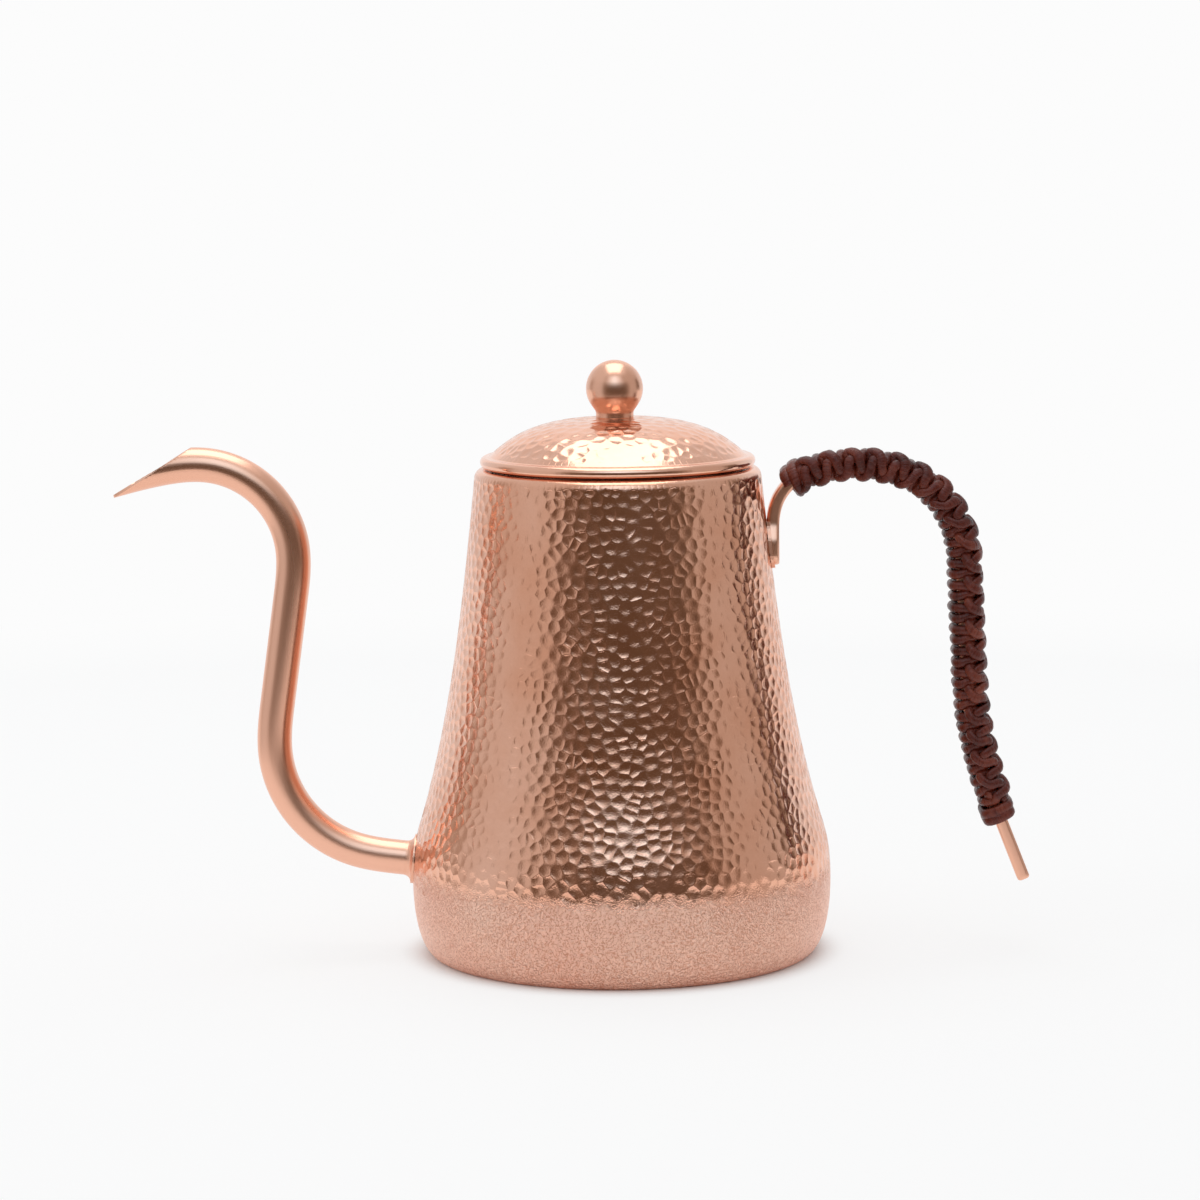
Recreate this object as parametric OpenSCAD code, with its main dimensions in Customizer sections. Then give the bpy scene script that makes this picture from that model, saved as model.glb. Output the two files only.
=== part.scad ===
// Gooseneck kettle: a hand-hammered copper pour-over pot with a drop-in lid,
// a swan-neck spout and a bent copper handle that is laced with two leather cords.
// Origin: centre of the base's underside. +Z up, spout towards -X, handle towards +X.

/* [Body] */
// Widest diameter of the body, at the belly
body_d = 121.6; // [112:0.2:132]
// Height of the widest ring above the base
belly_h = 21; // [16:0.5:26]
// Diameter of the flat that the kettle stands on
foot_d = 108; // [100:0.5:111]
// Height where the belly turns into the flared wall
haunch_h = 38; // [34:0.5:44]
// How much narrower the radius is there than at the belly
haunch_drop = 2.3; // [1.5:0.1:4]
// Diameter at the top of the flared wall
shoulder_d = 82.6; // [80:0.2:88]
// Height of the top of the flared wall
flare_top_h = 138.8; // [128:0.2:150]
// Radius of the rolled shoulder
shoulder_r = 2.6; // [1.8:0.1:3.2]
// Thickness of the copper sheet, in the body and the lid
wall = 0.8; // [0.5:0.05:1.2]

/* [Mouth] */
// Width of the rolled top, from the outside of the shoulder in to the mouth
rim_w = 5.2; // [4.6:0.1:7]
// Depth of the neck below the shoulder
neck_h = 5; // [3:0.5:9]
// Outer radius of the bend between shoulder and neck
lip_r = 1.5; // [1.3:0.05:1.8]

/* [Lid] */
// Gap under the lid's rolled rim
lid_seat_gap = 0.3; // [0.2:0.05:0.8]
// Radial clearance between the lid's collar and the neck
collar_gap = 0.5; // [0.3:0.05:1]
// Depth of the collar below the rolled rim
collar_h = 10; // [7:0.5:16]
// How far the rolled rim stands in from the outside of the shoulder
lid_inset = 1.7; // [0.8:0.1:2.4]
// Diameter of the roll itself
rim_roll_d = 3.2; // [2.6:0.1:3.8]
// Rise of the dome above the middle of the roll
dome_rise = 12.6; // [8:0.2:18]

/* [Knob] */
// Diameter of the ball
knob_d = 16.4; // [13:0.2:20]
// Height from the dome to the middle of the ball
knob_rise = 8.2; // [7.8:0.1:12]
// Diameter of the neck where the knob stands on the dome
knob_neck_d = 10.8; // [8:0.2:11]
// How far the knob stands off the middle of the dome, towards the spout
knob_offset = 0.7; // [0:0.1:1.5]
// Diameter of the knob's screw
screw_d = 4; // [3:0.1:5]
// Depth of the screw in the knob
screw_grip = 8; // [5:0.5:10]
// Radial clearance around the screw
screw_gap = 0.1; // [0.05:0.05:0.3]
// Diameter of the screw's head
screw_head_d = 7.5; // [6:0.1:9]
// Height of the screw's head
screw_head_h = 2.4; // [1.6:0.1:3]
// Diameter of the washer under the dome
washer_d = 11; // [9.5:0.5:16]
// Thickness of that washer
washer_t = 0.8; // [0.5:0.1:1.5]

/* [Spout] */
// Outer diameter of the tube
spout_d = 10; // [8.6:0.1:11.5]
// Wall of the tube
spout_wall = 0.8; // [0.5:0.05:1.1]
// Height at which the tube's axis leaves the body
spout_root_h = 27.2; // [24:0.2:30]
// Upward slope of the tube at its root, in degrees
spout_root_a = 6.9; // [3:0.1:10]
// How far the tube stands into the body
spout_entry = 2.2; // [1.6:0.1:4]
// Straight run from the body to the lower bend
spout_run = 10.4; // [8:0.2:16]
// Radius of the lower bend
lower_bend_r = 33.2; // [28:0.2:40]
// Turn of the lower bend, in degrees
lower_bend_a = 91.4; // [84:0.2:94]
// Length of the riser between the bends
riser_l = 45.5; // [35:0.5:60]
// Radius of the crest
crest_r = 27.6; // [22:0.2:34]
// Turn of the crest, in degrees
crest_a = 106; // [98:0.5:110]
// Radius of the beak's slow droop
beak_r = 134; // [110:1:180]
// Turn of that droop, in degrees
beak_a = 6.7; // [4:0.1:9]
// Length of the beak's underside past the droop
beak_l = 7.1; // [5:0.1:10]
// Angle between the beak's cut and its tube
beak_cut_a = 18.1; // [15:0.1:30]
// Leg of the brazed fillet at the root
spout_fillet = 2.2; // [1.4:0.1:3.2]

/* [Handle] */
// Thickness of the flat bar
bar_t = 3.6; // [3:0.1:4.4]
// Width of the bar inside the grip
bar_w = 6; // [5:0.2:7]
// Rounding of the bar's edges
bar_edge_r = 1; // [0.3:0.1:1.2]
// Width of the bar's spade foot
foot_w = 10; // [8:0.5:18]
// Length of the spade foot
foot_l = 12.7; // [10:0.5:16]
// Distance of the foot's lower end below the shoulder
foot_drop = 28.6; // [26:0.2:34]
// Sheet of copper left between the foot's face and the body at its lower end
foot_stand = 2.1; // [1.8:0.1:4]
// Radius of the bend above the foot
strap_bend_r = 14.5; // [12:0.5:18]
// Turn of that bend, in degrees
strap_bend_a = 69.5; // [62:0.5:74]
// Radius of the first half of the arch
arch_r = 42; // [36:0.5:50]
// Turn of the first half of the arch, in degrees
arch_a = 26.8; // [22:0.2:32]
// Radius of the second half of the arch
crown_r = 28.6; // [25:0.2:34]
// Turn of the second half of the arch, in degrees
crown_a = 81.3; // [76:0.2:86]
// Length of the straight grip below the arch
grip_l = 34.7; // [26:0.2:44]
// Radius of the outward sweep
sweep_r = 111; // [90:1:150]
// Turn of the outward sweep, in degrees
sweep_a = 18.8; // [14:0.2:24]
// Length of the straight end of the bar
tail_l = 26.1; // [20:0.2:32]
// Band of braze that shows around the foot
foot_braze = 0.9; // [0.6:0.1:1.5]

/* [Lacing] */
// Thickness of a leather lace
lace_d = 2.4; // [2:0.05:2.6]
// Number of full square knots
knots = 21; // [18:1:24]
// Where the lacing starts, along the bar from its foot
lace_start = 29; // [26:0.5:34]
// Where the lacing ends, back along the bar from its tail end
lace_end = 25; // [20:0.5:30]
// Turns of the whipping at each end
whip_turns = 2; // [1:1:3]
// How far the whippings stand out past the crossings of the lacing
whip_rise = 0.8; // [0.4:0.1:1.2]
// Sides of a lace's cross-section
lace_sides = 6; // [5:1:7]

/* [Hidden] */
$fn = 72;
copper = [0.80, 0.52, 0.40];
polished = [0.86, 0.56, 0.42];
braze = [0.78, 0.60, 0.42];
leather = [0.28, 0.14, 0.10];

belly_r = body_d / 2;
foot_r = foot_d / 2;
haunch_r = belly_r - haunch_drop;
shoulder_wall_r = shoulder_d / 2;
neck_r = shoulder_wall_r - rim_w;
collar_r = neck_r - collar_gap;
flare_h = flare_top_h - haunch_h;

// ---------- curves and profiles ----------

// Point of a cubic curve with the control points c, at t from 0 to 1
function cubic(c, t) =
    c[0] * pow(1 - t, 3) + c[1] * 3 * t * pow(1 - t, 2) + c[2] * 3 * t * t * (1 - t) + c[3] * pow(t, 3);

// Points of that curve, without the first
function curve(c, steps) = [for (i = [1:steps]) cubic(c, i / steps)];

// Points of an arc about [x, y] from angle a0 to a1
function arc(x, y, r, a0, a1, steps) =
    [for (i = [0:steps]) let (a = a0 + (a1 - a0) * i / steps) [x + r * cos(a), y + r * sin(a)]];

function unit(v) = v / norm(v);

// Direction of the line of points p at its point i
function heading(p, i) = unit(p[min(i + 1, len(p) - 1)] - p[max(i - 1, 0)]);

// The line of points p moved sideways by d, to its left, and kept on its side of the axis
function beside(p, d) =
    [for (i = [0:len(p) - 1]) let (h = heading(p, i), q = p[i] + d * [-h[1], h[0]]) [max(q[0], 0), q[1]]];

function reversed(p) = [for (i = [len(p) - 1:-1:0]) p[i]];

// Closed outline of a sheet that lies to the left of the line p; d is its thickness
function sheet(p, d) = concat(p, reversed(beside(p, d)));

// ---------- body ----------

haunch = [haunch_r, haunch_h];
belly = [belly_r, belly_h];
shoulder_lean = 6;
shoulder_c = [shoulder_wall_r - shoulder_r * cos(shoulder_lean),
              flare_top_h - shoulder_r * sin(shoulder_lean)];
shoulder_top = shoulder_c[1] + shoulder_r;

heel_curve = [[foot_r, 0], [foot_r + 0.59 * (belly_r - foot_r), 0], [belly_r, 0.43 * belly_h], belly];
belly_curve = [belly,
               [belly_r, belly_h + 0.35 * (haunch_h - belly_h)],
               [haunch_r + 0.87 * haunch_drop, belly_h + 0.62 * (haunch_h - belly_h)],
               haunch];
flare_curve = [haunch,
               [shoulder_wall_r + 0.46 * (haunch_r - shoulder_wall_r), haunch_h + 0.3 * flare_h],
               [shoulder_wall_r + 0.22 * (haunch_r - shoulder_wall_r), haunch_h + 0.64 * flare_h],
               [shoulder_wall_r, flare_top_h]];

// Outer face of the body from the middle of the base to the top of the flare
wall_line = concat([[0, 0], [foot_r, 0]], curve(heel_curve, 7), curve(belly_curve, 5), curve(flare_curve, 10));

// The same line, on over the rolled shoulder and down into the neck
body_line = concat(wall_line,
                   arc(shoulder_c[0], shoulder_c[1], shoulder_r, shoulder_lean + 14, 90, 5),
                   arc(neck_r + lip_r, shoulder_top - lip_r, lip_r, 90, 180, 5),
                   [[neck_r, shoulder_top - neck_h]]);

// Radius of the flared wall at height z, from the chord between its curve's points
function wall_r_at(z) = lookup(z, [for (q = curve(flare_curve, 10)) [q[1], q[0]]]);

// Everything inside the body's outer face, grown by d
module body_solid(d = 0) {
    rotate_extrude($fn = 360) polygon(concat(beside(wall_line, -d), [[0, flare_top_h]]));
}

module body_shell() {
    color(copper) difference() {
        rotate_extrude() polygon(sheet(body_line, wall));
        spout_frame() translate([-spout_entry - wall, 0, 0]) rotate([0, 90, 0])
            cylinder(d = spout_d, h = 2 * spout_entry + 4 * wall);
    }
}

// ---------- tubes and bars along a path of straights and bends ----------

hair = 0.04;
lap = 0.4;
function straight(l) = [l, 0, 0];
// A bend of radius r that turns up by a degrees, or down where a is negative
function bend(r, a) = [r * abs(a) * PI / 180, r, a];

// Carries its children along the path, which starts at the origin towards +X and stays in XZ.
// The child is a flat section: its X lies across the path in XZ, and its Y along Y. Every other
// stretch is thinner by $hair and runs on by lap into its neighbours, so that all become one piece.
module swept(path, i = 0) {
    if (i < len(path)) {
        $hair = i % 2 == 0 ? hair : 0;
        on = i % 2 == 0 ? lap : 0;
        l = path[i][0] + 2 * on;
        r = path[i][1];
        a = path[i][2];
        if (a == 0) {
            translate([-on, 0, 0]) rotate([0, 90, 0]) linear_extrude(l) children();
        } else {
            more = on / r * 180 / PI;
            start = a > 0 ? -90 - more : 90 + a - more;
            translate([0, 0, sign(a) * r]) rotate([90, 0, 0]) rotate([0, 0, start])
                rotate_extrude(angle = abs(a) + 2 * more) translate([r, 0]) children();
        }
        past(path[i]) swept(path, i + 1) children();
    }
}

// Moves its children from the start of one stretch to its end
module past(piece) {
    if (piece[2] == 0) {
        translate([piece[0], 0, 0]) children();
    } else {
        c = sign(piece[2]) * piece[1];
        translate([0, 0, c]) rotate([0, -piece[2], 0]) translate([0, 0, -c]) children();
    }
}

// Moves its children to the end of the whole path
module at_end(path, i = 0) {
    if (i < len(path)) past(path[i]) at_end(path, i + 1) children();
    else children();
}

// ---------- spout ----------

spout_path = [straight(spout_entry + spout_run), bend(lower_bend_r, lower_bend_a), straight(riser_l),
              bend(crest_r, -crest_a), bend(beak_r, -beak_a)];
beak_reach = spout_d / tan(beak_cut_a);

// The frame where the tube's axis crosses the body's face, with +X along the tube
module spout_frame() {
    mirror([1, 0, 0]) translate([belly_r, 0, spout_root_h]) rotate([0, -spout_root_a, 0]) children();
}

module spout_tube() {
    color(polished) spout_frame() translate([-spout_entry, 0, 0]) difference() {
        swept(concat(spout_path, [straight(beak_l + 1)])) circle(d = spout_d - $hair);
        translate([-1, 0, 0]) swept(concat([straight(1)], spout_path, [straight(beak_l + 2)]))
            circle(d = spout_d - 2 * spout_wall - $hair);
        // the long slanting cut that leaves the tip at the beak's underside
        at_end(spout_path) translate([beak_l, 0, -spout_d / 2]) rotate([0, beak_cut_a, 0])
            translate([-2 * beak_reach, -spout_d, 0]) cube([4 * beak_reach, 2 * spout_d, 3 * spout_d]);
    }
}

module spout_braze() {
    leg = spout_fillet;
    root = spout_entry;
    color(braze) difference() {
        spout_frame() rotate([0, 90, 0]) rotate_extrude($fn = 180)
            polygon(concat([[spout_d / 2, leg], [spout_d / 2, -root], [spout_d / 2 + leg, -root]],
                           arc(spout_d / 2 + leg, leg, leg, 270, 180, 6)));
        body_solid();
    }
}

// ---------- handle ----------

foot_h = shoulder_top - foot_drop;
foot_x = wall_r_at(foot_h) + foot_stand - bar_t / 2;
bar_path = [bend(strap_bend_r, -strap_bend_a), bend(arch_r, -arch_a), bend(crown_r, -crown_a),
            straight(grip_l), bend(sweep_r, sweep_a), straight(tail_l)];
bar_l = foot_l + total(bar_path);

// Length of the path from its stretch i on
function total(path, i = 0) = i == len(path) ? 0 : path[i][0] + total(path, i + 1);

// The frame at the lower end of the foot, with +X up along the bar and +Z towards the body
module foot_frame() {
    translate([foot_x, 0, foot_h]) rotate([0, -90, 0]) children();
}

module bar_section() {
    e = bar_edge_r;
    x = (bar_t - $hair) / 2 - e;
    y = (bar_w - $hair) / 2 - e;
    polygon(concat(arc(x, y, e, 0, 90, 3), arc(-x, y, e, 90, 180, 3),
                   arc(-x, -y, e, 180, 270, 3), arc(x, -y, e, 270, 360, 3)));
}

// Outline of the spade foot, grown by d, with X along the bar
module foot_outline(d = 0) {
    narrow = bar_w / 2 + d;
    wide = foot_w / 2 + d;
    corner_r = 0.3 * foot_w;
    swell = [[foot_l, narrow], [0.72 * foot_l, narrow], [0.76 * foot_l, wide], [0.5 * foot_l, wide]];
    edge = concat([swell[0]], curve(swell, 8), arc(corner_r, foot_w / 2 - corner_r, corner_r + d, 90, 180, 6));
    polygon(concat(edge, [for (q = reversed(edge)) [q[0], -q[1]]]));
}

module handle_bar() {
    color(copper) difference() {
        foot_frame() union() {
            translate([0, 0, -bar_t / 2]) linear_extrude(bar_t) foot_outline();
            translate([foot_l, 0, 0]) swept(bar_path) bar_section();
        }
        body_solid();
    }
}

// Fillet of braze around the foot and under it, down to the body's face
module handle_braze() {
    color(braze) difference() {
        intersection() {
            foot_frame() translate([0, 0, -bar_t / 2]) linear_extrude(2 * bar_t) foot_outline(foot_braze);
            body_solid(foot_braze);
        }
        body_solid();
        foot_frame() translate([0, 0, -bar_t / 2]) linear_extrude(bar_t) foot_outline();
    }
}

// ---------- lacing ----------
// Two laces are knotted around the bar in square knots. One always crosses over its outer
// face and loops around the other at the inner edges, and the other does the reverse.

pitch = (bar_l - lace_start - lace_end) / (2 * knots);
lace_r = lace_d / 2;
near_n = bar_t / 2 + lace_r + 0.05;
near_y = bar_w / 2 + lace_r + 0.1;

// Half a crossing as [along, sideways, outward]: from the middle of the bar's face, around its
// edge, to the top of the loop half a pitch on
half_knot = [[0, 0, near_n],
             [-0.1 * pitch, 0.8 * bar_w / 2, near_n],
             [-0.25 * pitch, near_y + 0.1 * lace_d, 0.5 * near_n],
             [-0.25 * pitch, near_y + 0.5 * lace_d, -0.2 * near_n],
             [0, near_y + 0.9 * lace_d, -0.95 * near_n],
             [0.5 * pitch, near_y + 0.8 * lace_d, -1.2 * near_n]];

// Point j of crossing k, where j counts from the middle of one crossing to the middle of the next
function lace_point(k, j) =
    let (last = len(half_knot) - 1,
         q = j <= last ? half_knot[j] : half_knot[2 * last - j],
         along = j <= last ? q[0] : pitch - q[0])
    [lace_start + (k + 0.5) * pitch + along, (k % 2 == 0 ? 1 : -1) * q[1], q[2]];

// Every point of a lace; side is 1 for the lace that crosses outside the bar, -1 inside
function lace_line(side) =
    [for (k = [0:2 * knots - 2]) for (j = [0:2 * len(half_knot) - 3])
        let (q = lace_point(k, j)) [q[0], side * q[1], side * q[2]]];

// Place and direction of the bar's middle line at length s, as [x, z, degrees]
function on_path(path, s, x, z, a, i = 0) =
    let (l = path[i][0], r = path[i][1], turn = path[i][2], last = i == len(path) - 1,
         part = last ? s / l : min(s / l, 1),
         c = [x - sign(turn) * r * sin(a), z + sign(turn) * r * cos(a)],
         b = a + turn * part,
         q = turn == 0 ? [x + l * part * cos(a), z + l * part * sin(a)]
                       : [c[0] + sign(turn) * r * sin(b), c[1] - sign(turn) * r * cos(b)])
    s <= l || last ? [q[0], q[1], b] : on_path(path, s - l, q[0], q[1], b, i + 1);

// A point given as [along, sideways, outward] in the kettle's own frame
function bent(q) =
    let (f = on_path(concat([straight(foot_l)], bar_path), q[0], foot_x, foot_h, 90))
    [f[0] - q[2] * sin(f[2]), q[1], f[1] + q[2] * cos(f[2])];

// Solid cord through the points p; the ring of each point is turned least from the one before
function carried(n, h) = unit(n - (n * h) * h);
function frames(p, i, n) =
    i == len(p) ? [] : let (h = heading(p, i), m = carried(n, h))
    concat([[m, cross(h, m)]], frames(p, i + 1, m));

module cord(p, d) {
    f = frames(p, 0, [0, 1, 0.3]);
    s = lace_sides;
    rings = [for (i = [0:len(p) - 1]) for (j = [0:s - 1])
                p[i] + d / 2 * (cos(j * 360 / s) * f[i][0] + sin(j * 360 / s) * f[i][1])];
    sides = [for (i = [0:len(p) - 2]) for (j = [0:s - 1])
                let (a = i * s + j, b = i * s + (j + 1) % s) each [[a, a + s, b + s], [a, b + s, b]]];
    last = (len(p) - 1) * s;
    ends = [[for (j = [0:s - 1]) j], [for (j = [s - 1:-1:0]) last + j]];
    polyhedron(rings, concat(sides, ends));
}

module grip_lace_over() {
    color(leather) cord([for (q = lace_line(1)) bent(q)], lace_d);
}

module grip_lace_under() {
    color(leather * 0.9) cord([for (q = lace_line(-1)) bent(q)], lace_d);
}

whip_pitch = 1.02 * lace_d;
whip_shift = 0.3 * lace_d;

// One whipping from s0 on: turns of lace around the bar, hard up against each other
module whipping(s0) {
    turn_points = 16;
    line = [for (i = [0:whip_turns * turn_points])
               let (a = i * 360 / turn_points)
               [s0 + i / turn_points * whip_pitch,
                (near_y + whip_rise) * cos(a),
                (near_n + whip_rise) * sin(a)]];
    color(leather) cord([for (q = line) bent(q)], lace_d);
}

module grip_whipping_top() {
    whipping(lace_start - whip_turns * whip_pitch - whip_shift);
}

module grip_whipping_bottom() {
    whipping(bar_l - lace_end + whip_shift);
}

// ---------- lid ----------

roll_r = rim_roll_d / 2;
roll_c = [shoulder_wall_r - lid_inset - roll_r, shoulder_top + lid_seat_gap + roll_r];
dome_top = roll_c[1] + dome_rise;
// where the dome runs into the roll, as measured from the roll's top
dome_run_in = 1.3;
dome_run_up = 0.25;
dome_edge = [roll_c[0] - dome_run_in, roll_c[1] + roll_r + dome_run_up];
dome_curve = [[0, dome_top],
              [0.55 * dome_edge[0], dome_top],
              [0.78 * dome_edge[0], dome_edge[1] + 0.7 * (dome_top - dome_edge[1])],
              dome_edge];
dome_line = concat([[0, dome_top]], curve(dome_curve, 12));

module lid_dome() {
    roll = arc(roll_c[0], roll_c[1], roll_r, 100, -165, 16);
    color(copper) difference() {
        rotate_extrude() polygon(sheet(concat(dome_line, roll), -wall));
        translate([-knob_offset, 0, dome_top - 3 * wall]) cylinder(d = screw_d + 2 * screw_gap, h = 4 * wall);
    }
}

// The space above the dome's underside
module above_dome() {
    far = shoulder_d;
    rotate_extrude() polygon(concat(beside(dome_line, -wall), [[far, dome_edge[1] - wall],
                                    [far, dome_top + 1], [0, dome_top + 1]]));
}

module lid_collar() {
    foot = roll_c[1] - roll_r - collar_h;
    line = [[collar_r - wall, foot], [collar_r, foot + wall], [collar_r, dome_top]];
    color(polished) difference() {
        rotate_extrude() polygon(concat(line, [[collar_r - wall, dome_top]]));
        above_dome();
    }
}

// ---------- knob ----------

knob_r = knob_d / 2;
knob_c = knob_rise;
knob_neck_r = knob_neck_d / 2;
// angle below the ball's equator at which its face turns into the neck
knob_turn_a = 32;

module knob_frame() {
    translate([-knob_offset, 0, dome_top]) children();
}

module lid_knob() {
    ball = arc(0, knob_c, knob_r, 90, -knob_turn_a, 14);
    skirt = curve([ball[14],
                   ball[14] + 0.35 * knob_c * [-sin(knob_turn_a), -cos(knob_turn_a)],
                   [knob_neck_r, 0.3 * knob_c],
                   [knob_neck_r, -wall / 2]], 6);
    color(polished) difference() {
        knob_frame() rotate_extrude() polygon(concat(ball, skirt, [[0, -wall / 2]]));
        translate([0, 0, -wall]) above_dome_cut();
        knob_frame() translate([0, 0, -wall]) cylinder(d = screw_d + 2 * screw_gap, h = wall + screw_grip + 0.5);
    }
}

// What lies under the dome's top face, near the knob
module above_dome_cut() {
    translate([0, 0, wall]) rotate_extrude() polygon(concat(dome_line, [[0, dome_edge[1]]]));
}

screw_seat = dome_top - 1.4 * wall - washer_t;

module knob_washer() {
    color(braze) translate([-knob_offset, 0, screw_seat]) difference() {
        cylinder(d = washer_d, h = washer_t);
        translate([0, 0, -washer_t]) cylinder(d = screw_d + 2 * screw_gap, h = 3 * washer_t);
    }
}

module knob_screw() {
    color(braze) translate([-knob_offset, 0, screw_seat]) difference() {
        union() {
            cylinder(d = screw_d, h = dome_top - screw_seat + screw_grip);
            intersection() {
                translate([0, 0, -screw_head_h]) cylinder(d = screw_head_d, h = screw_head_h);
                translate([0, 0, screw_head_d * 0.62 - screw_head_h]) sphere(d = screw_head_d * 1.24);
            }
        }
        translate([-screw_head_d, -0.5, -screw_head_h - 1]) cube([2 * screw_head_d, 1, 2]);
    }
}

body_shell();
spout_tube();
spout_braze();
handle_bar();
handle_braze();
grip_lace_over();
grip_lace_under();
grip_whipping_top();
grip_whipping_bottom();
lid_dome();
lid_collar();
lid_knob();
knob_washer();
knob_screw();
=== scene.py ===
import math
import random

import bmesh
import bpy
import numpy as np
from mathutils import Matrix, Vector
from mathutils.geometry import delaunay_2d_cdt
from mathutils.noise import noise as hum


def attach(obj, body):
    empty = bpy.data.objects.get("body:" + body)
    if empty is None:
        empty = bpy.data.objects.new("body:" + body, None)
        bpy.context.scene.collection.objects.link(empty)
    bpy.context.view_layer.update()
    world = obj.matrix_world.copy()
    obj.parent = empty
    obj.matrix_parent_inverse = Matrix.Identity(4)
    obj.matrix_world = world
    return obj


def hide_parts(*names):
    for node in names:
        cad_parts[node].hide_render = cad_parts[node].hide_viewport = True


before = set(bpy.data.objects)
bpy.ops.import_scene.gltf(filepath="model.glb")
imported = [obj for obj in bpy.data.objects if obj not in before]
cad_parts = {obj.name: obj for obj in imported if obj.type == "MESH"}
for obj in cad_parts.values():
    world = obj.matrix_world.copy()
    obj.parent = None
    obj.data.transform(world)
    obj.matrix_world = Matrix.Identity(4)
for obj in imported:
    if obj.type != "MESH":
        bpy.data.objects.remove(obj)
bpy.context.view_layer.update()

MM = 0.001
UP = Vector((0, 0, 1))
ACROSS = Vector((0, 1, 0))
TURN = 2 * math.pi
SEED = 11

# ---------- the kettle's driving sizes, in millimetres ----------

BELLY_R, BELLY_H = 60.8, 21.0
FOOT_R = 54.0
HAUNCH_R, HAUNCH_H = 58.5, 38.0
SHOULDER_WALL_R, FLARE_TOP_H = 41.3, 138.8
SHOULDER_R, SHOULDER_LEAN = 2.6, 6.0
WALL = 0.8
NECK_R, NECK_H, LIP_R = 36.1, 5.0, 1.5
ROLL_R, ROLL_CENTRE_R = 1.6, 38.0
SEAT_GAP, DOME_RISE = 0.3, 12.6
KNOB_R, KNOB_RISE, KNOB_NECK_R, KNOB_OFFSET = 8.2, 8.2, 5.4, 0.7
SPOUT_R, SPOUT_WALL, SPOUT_ROOT_H, SPOUT_ROOT_A = 5.0, 0.8, 27.2, 6.9
# bends that ease in and out reach further, so the beak is 1.1 mm shorter here than on the solid tube
SPOUT_ENTRY, BEAK_L, BEAK_CUT_A = 2.2, 6.0, 18.1
BAR_T, BAR_W, BAR_EDGE_R = 3.6, 6.0, 1.0
FOOT_L, FOOT_W, FOOT_STAND, FOOT_DROP = 12.7, 10.0, 2.1, 28.6

# stretches of a bent tube or bar: (length, 0, 0), or (0, radius, degrees up)
SPOUT_PATH = [(12.6, 0, 0), (0, 33.2, 91.4), (45.5, 0, 0), (0, 27.6, -106), (0, 134, -6.7)]
BAR_PATH = [(0, 14.5, -69.5), (0, 42, -26.8), (0, 28.6, -81.3), (34.7, 0, 0), (0, 111, 18.8),
            (26.1, 0, 0)]


# ---------- curves ----------

def cubic(c, t):
    """Point of a cubic curve with four control points."""
    c = [Vector(p) for p in c]
    return (c[0] * (1 - t) ** 3 + c[1] * 3 * t * (1 - t) ** 2
            + c[2] * 3 * t * t * (1 - t) + c[3] * t ** 3)


def curve_line(c, steps):
    return [cubic(c, i / steps) for i in range(1, steps + 1)]


def arc_line(centre, radius, start, end, steps):
    """Points of an arc from start to end degrees."""
    line = []
    for i in range(steps + 1):
        a = math.radians(start + (end - start) * i / steps)
        line.append(Vector((centre[0] + radius * math.cos(a), centre[1] + radius * math.sin(a))))
    return line


def evenly(line, step):
    """The same line with points about one step apart."""
    out = [line[0]]
    for a, b in zip(line, line[1:]):
        n = max(1, round((b - a).length / step))
        out += [a.lerp(b, (i + 1) / n) for i in range(n)]
    return out


def beside(line, d):
    """The line moved by d to its left, and kept off the axis's far side."""
    out = []
    for i, p in enumerate(line):
        h = (line[min(i + 1, len(line) - 1)] - line[max(i - 1, 0)]).normalized()
        q = p + Vector((-h.y, h.x)) * d
        out.append(Vector((max(q.x, 0), q.y)))
    return out


# ---------- pieces ----------

JOINED = 0.012  # points nearer to each other than this, in mm, are one point
STRAIGHT = 1e-3  # a stretch that bends less than this, in degrees for a mm, is straight


def make_piece(name, bm, body, materials, stands_for):
    """Turns a bmesh into a finished piece that rides on a body."""
    mesh = bpy.data.meshes.new(name)
    for face in bm.faces:
        face.smooth = True
    bm.to_mesh(mesh)
    bm.free()
    piece = bpy.data.objects.new(name, mesh)
    bpy.context.scene.collection.objects.link(piece)
    for m in materials:
        mesh.materials.append(m)
    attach(piece, body)
    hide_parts(*stands_for)
    return piece


def spin_line(bm, line, steps, material=0):
    """Spins the line (radius, height in mm) around the Z axis into bm."""
    verts = [bm.verts.new(Vector((p.x, 0, p.y)) * MM) for p in line]
    edges = [bm.edges.new(pair) for pair in zip(verts, verts[1:])]
    before = set(bm.faces)
    bmesh.ops.spin(bm, geom=verts + edges, cent=(0, 0, 0), axis=UP, angle=TURN, steps=steps,
                   use_merge=True, use_duplicate=False)
    for face in set(bm.faces) - before:
        face.material_index = material


def close_up(bm):
    """Joins what meets and turns every face outward."""
    bmesh.ops.remove_doubles(bm, verts=bm.verts, dist=JOINED * MM)
    loose = [e for e in bm.edges if not e.link_faces]
    bmesh.ops.delete(bm, geom=loose, context="EDGES")
    bmesh.ops.recalc_face_normals(bm, faces=bm.faces)


def verts_of(parts):
    return [g for g in parts if isinstance(g, bmesh.types.BMVert)]


def edges_of(parts):
    return [g for g in parts if isinstance(g, bmesh.types.BMEdge)]


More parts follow.
